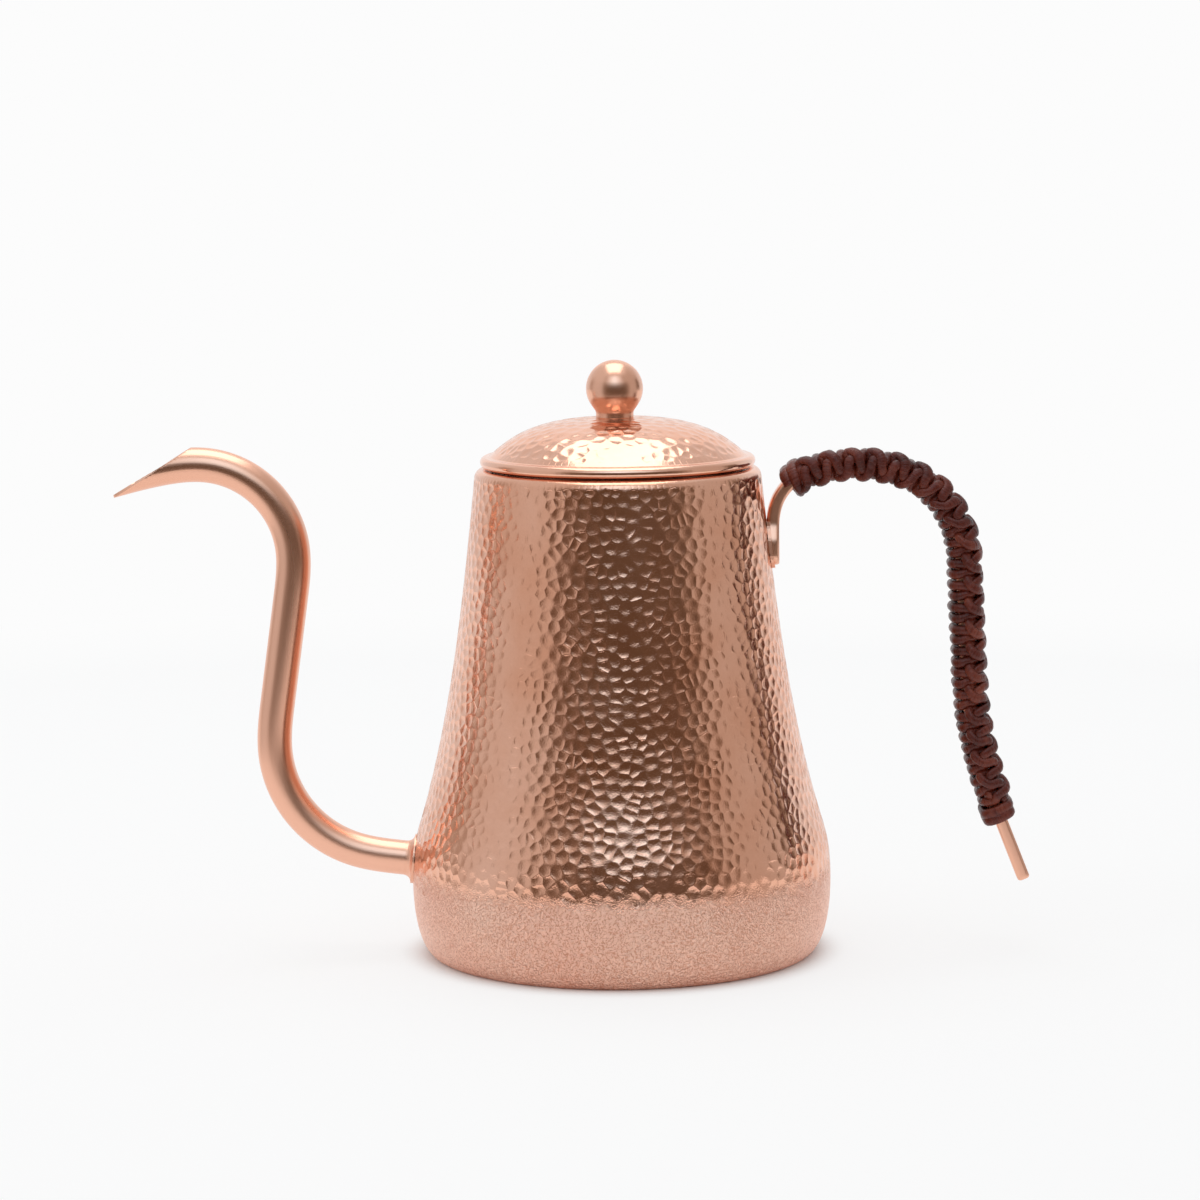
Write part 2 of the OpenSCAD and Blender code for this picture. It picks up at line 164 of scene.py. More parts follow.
def follow(bm, ring, path, bend_step):
    """Carries a ring of edges along a path that starts at the origin towards +X, in XZ.

    Returns the last ring, and the place and heading at the end."""
    place, heading = Vector((0, 0, 0)), 0.0
    for length, radius, angle in path:
        verts = list({v for e in ring for v in e.verts})
        if angle == 0:
            step = Vector((math.cos(heading), 0, math.sin(heading))) * length * MM
            parts = bmesh.ops.extrude_edge_only(bm, edges=ring)["geom"]
            bmesh.ops.translate(bm, verts=verts_of(parts), vec=step)
            place += step
        else:
            side = math.copysign(1, angle)
            out = Vector((math.sin(heading), 0, -math.cos(heading))) * side * radius * MM
            centre = place - out
            turn = math.radians(angle)
            parts = bmesh.ops.spin(bm, geom=verts + ring, cent=centre, axis=-ACROSS, angle=turn,
                                   steps=max(1, round(abs(angle) / bend_step)),
                                   use_merge=False, use_duplicate=False)["geom_last"]
            place = centre + Matrix.Rotation(turn, 3, -ACROSS) @ out
            heading += turn
        ring = edges_of(parts)
    return ring, place, heading


def eased(path, reach, step):
    """The same path in short stretches, whose bends come on and go off slowly within reach."""
    rates, lengths = [], []
    for length, radius, angle in path:
        length = length or radius * math.radians(abs(angle))
        n = round(length / step)
        rates += [angle / length] * n
        lengths += [length / n] * n
    n = round(reach / step)
    padded = [rates[0]] * n + rates + [rates[-1]] * n
    soft = [sum(padded[i:i + 2 * n + 1]) / (2 * n + 1) for i in range(len(rates))]
    return [(0, 1 / math.radians(abs(rate)), rate * l) if abs(rate) > STRAIGHT else (l, 0, 0)
            for rate, l in zip(soft, lengths)]


# ---------- hammer marks ----------

FULL_DEPTH, BLOWS = 0.2, (0.75, 1.15)  # depth of a full blow, and the blows' depths as shares of it
MARK_R = 1.95  # radius of the widest bowl that one blow leaves
LIP = 2.8  # a bowl's depth goes as this power of the way to its rim
EDGE_RING, INNER_RING = 0.88, 0.6  # where a bowl's rings of points lie on the way to its rim
CELL_FILL = 1.08  # a bowl's radius as a share of its cell's mean reach
LONE = 1.25  # a cell this many times the widest bowl has one standing alone
LONG_RIDGE = 1.5  # a ridge between two bowls this long has a point in its middle
STRAY, PULL, SETTLINGS = 0.5, 0.6, 2  # how far blows stray, in spacings, and how they are evened out
# a surface's points in mm apart, its samples of the radius, and radians laid out again past its seam
FINE, SAMPLES, SEAM_REACH = 0.1, 4000, 0.4


class Turned:
    """A surface of revolution over a line of (radius, height), in millimetres.

    around: marks are laid out on (angle, stretched length), which keeps their shapes on a wall;
    otherwise on a disc seen from its pole."""

    def __init__(self, line, around):
        fine = evenly(line, FINE)
        self.r = np.array([p.x for p in fine])
        self.z = np.array([p.y for p in fine])
        steps = np.hypot(np.diff(self.r), np.diff(self.z))
        self.s = np.concatenate([[0], np.cumsum(steps)])
        self.tr, self.tz = np.gradient(self.r, self.s), np.gradient(self.z, self.s)
        self.around = around
        if around:
            middle = (self.r[1:] + self.r[:-1]) / 2
            self.v = np.concatenate([[0], np.cumsum(steps / middle)])
            self.step = self.v[-1] / SAMPLES
            self.radii = np.interp(np.arange(SAMPLES + 1) * self.step, self.v, self.r).tolist()

    def plan(self, angle, s):
        """Where a place is laid out in the plane."""
        if self.around:
            return Vector((angle, np.interp(s, self.s, self.v)))
        return Vector((s * math.cos(angle), s * math.sin(angle)))

    def polar(self, q):
        """Angle and length along the line of a point of the plane."""
        if self.around:
            return q[0], float(np.interp(q[1], self.v, self.s))
        return math.atan2(q[1], q[0]), math.hypot(q[0], q[1])

    def scale(self, q):
        """Millimetres on the surface for one unit of the plane."""
        if not self.around:
            return 1.0
        return self.radii[min(SAMPLES, max(0, round(q[1] / self.step)))]

    def lift(self, points, heights):
        """The points in metres that stand heights mm off the surface above points of the plane."""
        q, h = np.array(points), np.array(heights)
        if self.around:
            angle, s, h = q[:, 0], np.interp(q[:, 1], self.v, self.s), -h
        else:
            angle, s = np.arctan2(q[:, 1], q[:, 0]), np.hypot(q[:, 0], q[:, 1])
        r = np.interp(s, self.s, self.r) - h * np.interp(s, self.s, self.tz)
        z = np.interp(s, self.s, self.z) + h * np.interp(s, self.s, self.tr)
        return np.column_stack([r * np.cos(angle), r * np.sin(angle), z]) * MM


def cells_of(surface, marks):
    """Corners of each mark's cell in the plane, with the marks that meet at each corner."""
    spots = [(surface.plan(m[0], m[1]), i) for i, m in enumerate(marks)]
    if surface.around:
        own, full = spots[:], Vector((TURN, 0))
        spots += [(q + full, i) for q, i in own if q.x < SEAM_REACH]
        spots += [(q - full, i) for q, i in own if q.x > TURN - SEAM_REACH]
    triangles = delaunay_2d_cdt([q for q, _ in spots], [], [], 0, 1e-9)[2]
    corners = [[] for _ in marks]
    for tri in triangles:
        (a, i), (b, j), (c, k) = (spots[t] for t in tri)
        centre = circumcentre(a, b, c)
        for t in tri:
            if t < len(marks):
                corners[t].append((centre, {i, j, k}))
    for t, ring in enumerate(corners):
        q = spots[t][0]
        ring.sort(key=lambda c: math.atan2(c[0].y - q.y, c[0].x - q.x))
    return [spots[t][0] for t in range(len(marks))], corners


def circumcentre(a, b, c):
    b, c = b - a, c - a
    d = 2 * (b.x * c.y - b.y * c.x)
    if abs(d) < 1e-15:
        return a.copy()
    bb, cc = b.length_squared, c.length_squared
    return a + Vector((c.y * bb - b.y * cc, b.x * cc - c.x * bb)) / d


def courses(surface, low, high, gap, rise, rnd):
    """Hammer marks as (angle, length along the line, depth) in staggered, uneven courses."""
    rows = round((high - low) / rise)
    marks = []
    for row in range(rows):
        s = low + (row + 0.5) * (high - low) / rows
        r = float(np.interp(s, surface.s, surface.r))
        count = max(1, round(TURN * r / gap))
        start = rnd.uniform(0, TURN)
        for i in range(count):
            angle = (start + (i + rnd.uniform(-STRAY, STRAY)) * TURN / count) % TURN
            place = s + rnd.uniform(-STRAY, STRAY) * rise
            marks.append((angle, place, rnd.uniform(*BLOWS) * FULL_DEPTH))
    return marks


def guards(s, count, gap, keep):
    """A double row of flat cells that share the circle at s; one side of it is built."""
    return [((i + 0.5) * TURN / count, s + side * gap, 0.0 if side == keep else None)
            for i in range(count) for side in (-1, 1)]


def settle(surface, marks, low, high):
    """Evens out the marks' spacing between low and high; flat cells stay where they are."""
    for _ in range(SETTLINGS):
        spots, corners = cells_of(surface, marks)
        moved = []
        for mark, q, ring in zip(marks, spots, corners):
            if mark[2] and ring:
                q = q.lerp(sum((c for c, _ in ring), Vector((0, 0))) / len(ring), PULL)
                angle, s = surface.polar(q)
                mark = (angle % TURN, min(max(s, low), high), mark[2])
            moved.append(mark)
        marks = moved
    return marks


def beat(bm, surface, marks):
    """Builds the hammered skin: each cell is a shallow bowl, and its rim a rounded ridge."""
    spots, corners = cells_of(surface, marks)
    points, heights, faces = [], [], []
    for mark, q, ring in zip(marks, spots, corners):
        if mark[2] is None or len(ring) < 3:
            continue
        rim = []
        for (c, near), (d, beyond) in zip(ring, ring[1:] + ring[:1]):
            rim.append(c)
            middle = (c + d) / 2
            shared = any(marks[i][2] for i in near & beyond)
            if shared and (c - d).length * surface.scale(middle) > LONG_RIDGE:
                rim.append(middle)
        first, n = len(points), len(rim)
        points += rim
        heights += [0.0] * n
        round_r = CELL_FILL * sum((c - q).length for c in rim) / n
        lone = round_r > LONE * MARK_R / surface.scale(q)
        round_r = min(round_r, MARK_R / surface.scale(q))
        for part in (1.0 if lone else EDGE_RING, INNER_RING):
            points += [q + (c - q) * (part * min(1, round_r / (c - q).length)) for c in rim]
            heights += [mark[2] * (part ** LIP - 1)] * n
        points.append(q)
        heights.append(-mark[2])
        for i in range(n):
            j = (i + 1) % n
            for k in (first, first + n):
                faces.append((k + i, k + j, k + n + j, k + n + i))
            faces.append((first + 2 * n + i, first + 2 * n + j, first + 3 * n))
    verts = [bm.verts.new(p) for p in surface.lift(points, heights)]
    for face in faces:
        bm.faces.new([verts[i] for i in face])


# ---------- materials ----------

# a noise mostly stays between these
QUIET, LOUD = 0.3, 0.7


def new_material(name):
    """A material with its Principled shader."""
    m = bpy.data.materials.new(name)
    m.use_nodes = True
    return m, m.node_tree, m.node_tree.nodes["Principled BSDF"]


def add(tree, kind):
    return tree.nodes.new("ShaderNode" + kind)


def noise(tree, vector, scale, detail=3.0, stretch=(1, 1, 1), rough=0.5):
    """Noise on a vector; returns its Factor output."""
    place = add(tree, "Mapping")
    place.inputs["Scale"].default_value = stretch
    tree.links.new(vector, place.inputs["Vector"])
    n = add(tree, "TexNoise")
    n.inputs["Scale"].default_value = scale
    n.inputs["Detail"].default_value = detail
    n.inputs["Roughness"].default_value = rough
    tree.links.new(place.outputs["Vector"], n.inputs["Vector"])
    return n.outputs["Fac"]


def ramp(tree, value, stops):
    """A colour ramp over stops of (position, colour)."""
    r = add(tree, "ValToRGB")
    els = r.color_ramp.elements
    while len(els) < len(stops):
        els.new(0.5)
    for el, (at, colour) in zip(els, stops):
        el.position = at
        el.color = (*colour, 1)
    tree.links.new(value, r.inputs["Fac"])
    return r.outputs["Color"]


def span(tree, value, low, high, to_low, to_high):
    """Maps a value from one range to another, smoothly and clamped."""
    r = add(tree, "MapRange")
    r.interpolation_type = "SMOOTHSTEP"
    for key, v in zip(("From Min", "From Max", "To Min", "To Max"), (low, high, to_low, to_high)):
        r.inputs[key].default_value = v
    tree.links.new(value, r.inputs["Value"])
    return r.outputs["Result"]


def bump(tree, height, distance, under=None):
    """Relief of a height times a distance, on top of the relief under it."""
    b = add(tree, "Bump")
    b.inputs["Distance"].default_value = distance
    b.inputs["Strength"].default_value = 1.0
    tree.links.new(height, b.inputs["Height"])
    if under is not None:
        tree.links.new(under, b.inputs["Normal"])
    return b.outputs["Normal"]


def finish(tree, shader, tone, roughness, relief=None, metallic=1.0):
    """Sets a finish's colour, roughness and relief; it is a metal unless said otherwise."""
    shader.inputs["Metallic"].default_value = metallic
    for socket, v in (("Base Color", tone), ("Roughness", roughness), ("Normal", relief)):
        if v is not None:
            tree.links.new(v, shader.inputs[socket])


def object_coords(tree):
    return add(tree, "TexCoord").outputs["Object"]


def combine(tree, op, a, b=0):
    """A sum on one or two values."""
    n = add(tree, "Math")
    n.operation = op
    for socket, v in zip(n.inputs, (a, b)):
        if isinstance(v, (int, float)):
            socket.default_value = v
        else:
            tree.links.new(v, socket)
    return n.outputs[0]


def blend(tree, factor, a, b, way="MIX"):
    """Colour a where the factor is 0, blended with colour b where it is 1."""
    mix = add(tree, "Mix")
    mix.data_type = "RGBA"
    mix.blend_type = way
    for socket, v in (("Factor", factor), ("A", a), ("B", b)):
        tree.links.new(v, mix.inputs[socket])
    return mix.outputs["Result"]


def either(tree, factor, first, second):
    """The first shader where the factor is 0, and the second where it is 1."""
    mix = add(tree, "MixShader")
    for socket, v in zip(mix.inputs, (factor, first, second)):
        tree.links.new(v, socket)
    return mix.outputs[0]


COPPER_LIGHT = (0.93, 0.53, 0.385)
COPPER_MID = (0.87, 0.455, 0.31)
COPPER_DEEP = (0.80, 0.375, 0.235)
MATTE_COPPER = ((0.96, 0.54, 0.405), (0.99, 0.62, 0.48))
SOOT = (0.70, 0.54, 0.47)
TIN_TONES = ((0.62, 0.61, 0.59), (0.78, 0.77, 0.75))
BRASS_TONES = ((0.68, 0.50, 0.27), (0.80, 0.62, 0.36))
LEATHER_TONES = ((0.040, 0.0048, 0.0022), (0.102, 0.0130, 0.0058), (0.215, 0.044, 0.021))

# the heights in mm between which the matte band fades out, and how far its edge wanders in all
MATTE_LOW, MATTE_HIGH, MATTE_WANDER = 22, 28, 5


def drawn_coords(tree):
    """Coordinates that change fast around a drawn tube or bar and slowly along it."""
    section = add(tree, "Attribute")
    section.attribute_name = "section"
    slow = add(tree, "VectorMath")
    slow.operation = "SCALE"
    slow.inputs["Scale"].default_value = 0.05
    tree.links.new(object_coords(tree), slow.inputs[0])
    both = add(tree, "VectorMath")
    tree.links.new(section.outputs["Vector"], both.inputs[0])
    tree.links.new(slow.outputs[0], both.inputs[1])
    return both.outputs[0]


def copper(name, low, high, grain_scale, grain_depth, stretch=(1, 1, 1), drawn=False):
    """Polished copper, with roughness from low to high in cloudy patches and a fine grain."""
    m, tree, shader = new_material(name)
    coords = drawn_coords(tree) if drawn else object_coords(tree)
    cloud = noise(tree, coords, 45, 4, stretch)
    tone = ramp(tree, cloud, [(QUIET, COPPER_MID), (LOUD, COPPER_LIGHT)])
    grain = noise(tree, coords, grain_scale, 3, stretch)
    finish(tree, shader, tone, span(tree, cloud, QUIET, LOUD, low, high),
           bump(tree, grain, grain_depth))
    return m


def hammered_copper():
    """The body's outside: bright in the hammered field, matte and stippled in the band below."""
    m, tree, shader = new_material("hammered_copper")
    coords = object_coords(tree)
    split = add(tree, "SeparateXYZ")
    tree.links.new(coords, split.inputs["Vector"])
    edge = noise(tree, coords, 260, 2)
    wander = combine(tree, "MULTIPLY", combine(tree, "SUBTRACT", edge, 0.5),
                     MATTE_WANDER * MM)
    height = combine(tree, "ADD", split.outputs["Z"], wander)
    field = span(tree, height, MATTE_LOW * MM, MATTE_HIGH * MM, 0, 1)
    cloud = noise(tree, coords, 38, 5)
    bright = ramp(tree, cloud, [(0.28, COPPER_DEEP), (0.5, COPPER_MID), (0.75, COPPER_LIGHT)])
    pale = ramp(tree, cloud, list(zip((QUIET, LOUD), MATTE_COPPER)))
    clean = blend(tree, field, pale, bright)
    stipple = noise(tree, coords, 2400, 2)
    worm = noise(tree, coords, 900, 2)
    vein = combine(tree, "ABSOLUTE", combine(tree, "SUBTRACT", worm, 0.5))
    grit = combine(tree, "ADD", combine(tree, "MULTIPLY", vein, 3.5),
                   combine(tree, "MULTIPLY", stipple, 0.8))
    calm = combine(tree, "SUBTRACT", 1.06, field)
    dark = ramp(tree, grit, [(0.44, SOOT), (0.60, (1, 1, 1))])
    tone = blend(tree, combine(tree, "MULTIPLY", calm, 0.85), clean, dark, "MULTIPLY")
    patch = span(tree, noise(tree, coords, 120, 4), QUIET, LOUD, 0.12, 0.2)
    shine = combine(tree, "MULTIPLY", combine(tree, "SUBTRACT", 1.0, field), 0.16)
    rough_height = combine(tree, "MULTIPLY", grit, calm)
    finish(tree, shader, tone, combine(tree, "ADD", patch, shine),
           bump(tree, rough_height, 0.35 * MM))
    return m


def tin():
    """Wiped tin on the inside of the body."""
    m, tree, shader = new_material("tin_lining")
    coords = object_coords(tree)
    cloud = noise(tree, coords, 60, 4)
    tone = ramp(tree, cloud, list(zip((QUIET, LOUD), TIN_TONES)))
    wiped = noise(tree, coords, 300, 2)
    finish(tree, shader, tone, span(tree, cloud, QUIET, LOUD, 0.25, 0.42),
           bump(tree, wiped, 0.05 * MM))
    return m


def lace_leather():
    """Dark red-brown waxed lace: fine creases across it, worn lighter here and there."""
    m, tree, shader = new_material("laced_leather")
    along = add(tree, "Attribute")
    along.attribute_name = "along"
    coords = object_coords(tree)
    split = add(tree, "SeparateXYZ")
    tree.links.new(coords, split.inputs["Vector"])
    join = add(tree, "CombineXYZ")
    tree.links.new(combine(tree, "MULTIPLY", along.outputs["Fac"], 9), join.inputs["X"])
    for axis in "YZ":
        tree.links.new(split.outputs[axis], join.inputs[axis])
    crease = noise(tree, join.outputs["Vector"], 190, 3, rough=0.6)
    cloud = noise(tree, coords, 130, 4)
    wear = combine(tree, "ADD", combine(tree, "MULTIPLY", cloud, 0.7),
                   combine(tree, "MULTIPLY", crease, 0.3))
    tone = ramp(tree, wear, list(zip((0.3, 0.5, 0.72), LEATHER_TONES)))
    shader.inputs["Specular IOR Level"].default_value = 0.36
    wrinkle = bump(tree, noise(tree, coords, 700, 3), 0.1 * MM)
    finish(tree, shader, tone, span(tree, crease, 0.25, 0.75, 0.2, 0.42),
           bump(tree, crease, 0.3 * MM, under=wrinkle), metallic=0.0)
    return m


def plain_brass():
    """Brass with the fine rings that turning leaves."""
    m, tree, shader = new_material("turned_brass")
    coords = object_coords(tree)
    ring = noise(tree, coords, 500, 2, (1, 1, 0.1))
    tone = ramp(tree, ring, list(zip((QUIET, LOUD), BRASS_TONES)))
    finish(tree, shader, tone, span(tree, ring, QUIET, LOUD, 0.28, 0.4))
    return m


# ---------- camera, light and floor ----------

CAMERA_PLACE = (-5.49 * MM, -1150 * MM, 255 * MM)
CAMERA_PITCH, CAMERA_ROLL = 7.55, -0.6
CAMERA_LENS, SENSOR_W = 120.4, 36


def set_camera():
    data = bpy.data.cameras.new("camera")
    data.lens = CAMERA_LENS
    data.sensor_width = SENSOR_W
    data.clip_start = 0.01
    camera = bpy.data.objects.new("camera", data)
    camera.location = CAMERA_PLACE
    turn = (Matrix.Rotation(math.radians(90 - CAMERA_PITCH), 3, "X")
            @ Matrix.Rotation(math.radians(CAMERA_ROLL), 3, "Z"))
    camera.rotation_euler = turn.to_euler()
    bpy.context.scene.collection.objects.link(camera)
    bpy.context.scene.camera = camera


PAPER_WHITE, ROOM_LIGHT = 0.973, 0.66


def looked_at(tree):
    """1 for what the camera sees, straight or in metal or glass, and 0 for what only lights."""
    ray = add(tree, "LightPath")
    seen = combine(tree, "MAXIMUM", ray.outputs["Is Camera Ray"], ray.outputs["Is Glossy Ray"])
    return combine(tree, "MAXIMUM", seen, ray.outputs["Is Transmission Ray"])


def set_world():
    """White to the eye and in reflections, softer as light."""
    world = bpy.data.worlds.new("studio")
    bpy.context.scene.world = world
    world.use_nodes = True
    tree = world.node_tree
    tree.nodes.clear()
    out = add(tree, "OutputWorld")
    light, paper = (add(tree, "Background") for _ in range(2))
    for sky, strength in ((light, ROOM_LIGHT), (paper, PAPER_WHITE)):
        sky.inputs["Color"].default_value = (1, 1, 1, 1)
        sky.inputs["Strength"].default_value = strength
    both = either(tree, looked_at(tree), light.outputs[0], paper.outputs[0])
    tree.links.new(both, out.inputs["Surface"])


FLOOR_R, FLOOR_FADE = 6, (0.3, 0.75)
# the paper's own glow around the foot, and over how many metres it comes on
FLOOR_GLOW, GLOW_REACH = 0.72, 0.012


def set_floor():
    """Pale paper that keeps the kettle's shadow near it and fades into the background further off."""
    bm = bmesh.new()
    bmesh.ops.create_circle(bm, cap_ends=True, segments=64, radius=FLOOR_R)
    m, tree, shader = new_material("floor_paper")
    shader.inputs["Base Color"].default_value = (0.97, 0.97, 0.968, 1)
    shader.inputs["Roughness"].default_value = 0.9
    shader.inputs["Specular IOR Level"].default_value = 0.0
    away = add(tree, "VectorMath")
    away.operation = "LENGTH"
    tree.links.new(object_coords(tree), away.inputs[0])
    far = span(tree, away.outputs["Value"], *FLOOR_FADE, 0, 1)
    paper = add(tree, "Emission")
    paper.inputs["Color"].default_value = (1, 1, 1, 1)
    paper.inputs["Strength"].default_value = PAPER_WHITE
    foot = FOOT_R * MM
    near = span(tree, away.outputs["Value"], foot, foot + GLOW_REACH, 0, FLOOR_GLOW)
    lit = combine(tree, "MAXIMUM", far, near)
    share = combine(tree, "MULTIPLY", lit, looked_at(tree))
    both = either(tree, share, shader.outputs[0], paper.outputs[0])
    tree.links.new(both, tree.nodes["Material Output"].inputs["Surface"])
    stage_mesh("floor", bm, m)


FLAT_R, FLAT_H, FLATS_REACH = 1.7, 2.4, 152
APRON_R, APRON_H, APRON_REACH = 0.33, 0.002, 104
CEILING_R, CEILING_TONE = 1.3 * FLAT_R, 0.66
# brightness of the flats by degrees around from the front: up to eye height, and well above it
EYE_H, EYE_BLEND = 0.46, 0.7
LOW_TONES = [(-150, 0.8), (-122, 0.75), (-114, 0.44), (-104, 0.46), (-94, 0.66), (-56, 0.66),
             (-40, 0.2), (-14, 0.12), (44, 0.14), (58, 0.32), (66, 0.56), (98, 0.54), (105, 0.18),
             (117, 0.18), (124, 0.8), (150, 0.8)]
HIGH_TONES = [(-150, 0.75), (-98, 0.7), (-56, 0.7), (-42, 0.5), (-24, 0.9), (0, 1.35), (24, 0.95),
              (44, 0.5), (60, 0.55), (98, 0.55), (150, 0.75)]


def glow_material(name, make_colour):
    """A material that only glows, in the colour that make_colour gives."""
    m = bpy.data.materials.new(name)
    m.use_nodes = True
    tree = m.node_tree
    tree.nodes.clear()
    glow = add(tree, "Emission")
    tree.links.new(make_colour(tree), glow.inputs["Color"])
    tree.links.new(glow.outputs[0], add(tree, "OutputMaterial").inputs["Surface"])
    return m


def flat_colour(tree):
    """The flats' tones by direction and height."""
    split = add(tree, "SeparateXYZ")
    tree.links.new(object_coords(tree), split.inputs["Vector"])
    front = combine(tree, "MULTIPLY", split.outputs["Y"], -1)
    angle = combine(tree, "ARCTAN2", split.outputs["X"], front)
    place = combine(tree, "ADD", combine(tree, "DIVIDE", angle, TURN), 0.5)
    low, high = (ramp(tree, place, [(deg / 360 + 0.5, card_tone(tone)) for deg, tone in tones])
                 for tones in (LOW_TONES, HIGH_TONES))
    above = span(tree, split.outputs["Z"], EYE_H, EYE_H + EYE_BLEND, 0, 1)
    return blend(tree, above, low, high)


def ceiling_colour(tree):
    """The ceiling's tone, a little uneven."""
    patch = noise(tree, object_coords(tree), 1)
    return ramp(tree, patch, [(0, card_tone(CEILING_TONE)), (1, card_tone(CEILING_TONE * 1.1))])


def card_tone(tone):
    """A tone as a colour: warm where it is dark, cool where it is pale."""
    return tone, tone * (0.7 + 0.5 * tone), tone * (0.45 + 0.9 * tone)


def spun_flat(name, line, reach, material):
    """A flat of the line (distance, height), spun to reach degrees on both sides of the front."""
    bm = bmesh.new()
    verts = [bm.verts.new((0, -r, z)) for r, z in line]
    edges = [bm.edges.new(pair) for pair in zip(verts, verts[1:])]
    start = Matrix.Rotation(math.radians(-reach), 3, "Z")
    bmesh.ops.rotate(bm, verts=verts, cent=(0, 0, 0), matrix=start)
    bmesh.ops.spin(bm, geom=verts + edges, cent=(0, 0, 0), axis=UP, angle=math.radians(2 * reach),
                   steps=96, use_merge=False, use_duplicate=False)
    return stage_mesh(name, bm, material)


def set_flats():
    """Flats around the studio, an apron on its floor and a ceiling, which only reflections see."""
    tones = glow_material("flat_tones", flat_colour)
    around = spun_flat("flats", [(FLAT_R, 0), (FLAT_R, FLAT_H)], FLATS_REACH, tones)
    apron = spun_flat("apron", [(APRON_R, APRON_H), (FLAT_R, APRON_H)], APRON_REACH, tones)
    bm = bmesh.new()
    bmesh.ops.create_circle(bm, cap_ends=True, segments=64, radius=CEILING_R)
    bmesh.ops.translate(bm, verts=bm.verts, vec=(0, 0, FLAT_H))
    over = stage_mesh("ceiling", bm, glow_material("ceiling_tone", ceiling_colour))
    for flat in (around, apron, over):
        flat.visible_camera = False
        flat.visible_diffuse = False
        flat.visible_shadow = False


def stage_mesh(name, bm, material):
    """Part of the studio, made from a bmesh."""
    mesh = bpy.data.meshes.new(name)
    bm.to_mesh(mesh)
    bm.free()
    mesh.materials.append(material)
    piece = bpy.data.objects.new(name, mesh)
    bpy.context.scene.collection.objects.link(piece)
    return piece


SOFTBOX_COLOUR = (0.93, 0.97, 1.0)


def add_softbox(name, place, aim, size, glow, seen=True):
    """A soft lamp of size (across, along) in metres; glow is its brightness where white is 1."""
    data = bpy.data.lights.new(name, "AREA")
    data.shape = "RECTANGLE"
    data.size, data.size_y = size
    data.color = SOFTBOX_COLOUR
    data.energy = glow * math.pi * size[0] * size[1]
    lamp = bpy.data.objects.new(name, data)
    lamp.visible_glossy = seen
    lamp.location = place
    lamp.rotation_euler = (Vector(aim) - Vector(place)).to_track_quat("-Z", "Y").to_euler()
    bpy.context.scene.collection.objects.link(lamp)


def set_stage():
    set_camera()
    set_world()
    set_floor()
    set_flats()
    add_softbox("softbox_over", (0, 0.2, 1.4), (0, 0.05, 0), (0.95, 1.3), 1.8)
    add_softbox("softbox_left", (-1.3, -0.35, 0.7), (0, 0, 0.08), (0.5, 0.9), 1.3, seen=False)
    bpy.context.scene.view_settings.view_transform = "Standard"


# ---------- body ----------

SHOULDER_C = Vector((SHOULDER_WALL_R - SHOULDER_R * math.cos(math.radians(SHOULDER_LEAN)),
                     FLARE_TOP_H - SHOULDER_R * math.sin(math.radians(SHOULDER_LEAN))))
SHOULDER_TOP = SHOULDER_C.y + SHOULDER_R
BODY_STEPS = 144
# the hammered field's lowest and highest heights, and its marks' spacing around and up the wall
FIELD_LOW, FIELD_HIGH = 19.0, SHOULDER_C.y + SHOULDER_R * math.sin(math.radians(33))
BODY_GAP, BODY_COURSE = 3.7, 3.2
# in from the field's foot and top: its outermost courses, its flat cells, and the last place for a mark
COURSES_IN, FLATS_IN, MARKS_IN = (1.2, 0.3), (0.7, 0.3), (1.5, 1.0)
# the marks thin out in a fringe this high over the field's foot, which gets thinner as it falls
FRINGE_H, FRINGE_FALL, FRINGE_THIN = 8.5, 7.5, 1.5


def wall_line():
    """Outer face of the body from the foot to the top of the flare, as (radius, height).

    The shares set how full each of its three curves is."""
    flare_h = FLARE_TOP_H - HAUNCH_H
    narrow = HAUNCH_R - SHOULDER_WALL_R
    heel = [(FOOT_R, 0), (FOOT_R + 0.59 * (BELLY_R - FOOT_R), 0), (BELLY_R, 0.43 * BELLY_H),
            (BELLY_R, BELLY_H)]
    belly = [heel[3], (BELLY_R, BELLY_H + 0.35 * (HAUNCH_H - BELLY_H)),
             (HAUNCH_R + 0.87 * (BELLY_R - HAUNCH_R), BELLY_H + 0.62 * (HAUNCH_H - BELLY_H)),
             (HAUNCH_R, HAUNCH_H)]
    flare = [belly[3], (SHOULDER_WALL_R + 0.46 * narrow, HAUNCH_H + 0.3 * flare_h),
             (SHOULDER_WALL_R + 0.22 * narrow, HAUNCH_H + 0.64 * flare_h),
             (SHOULDER_WALL_R, FLARE_TOP_H)]
    return ([Vector((FOOT_R, 0))] + curve_line(heel, 60) + curve_line(belly, 40)
            + curve_line(flare, 160))


def between(line, low, high):
    """The stretch of a line between two heights, with points exactly at both."""
    h = [p.y for p in line]
    ends = [Vector((float(np.interp(z, h, [p.x for p in line])), z)) for z in (low, high)]
    return [ends[0]] + [p for p in line if low + 1e-4 < p.y < high - 1e-4] + [ends[1]]


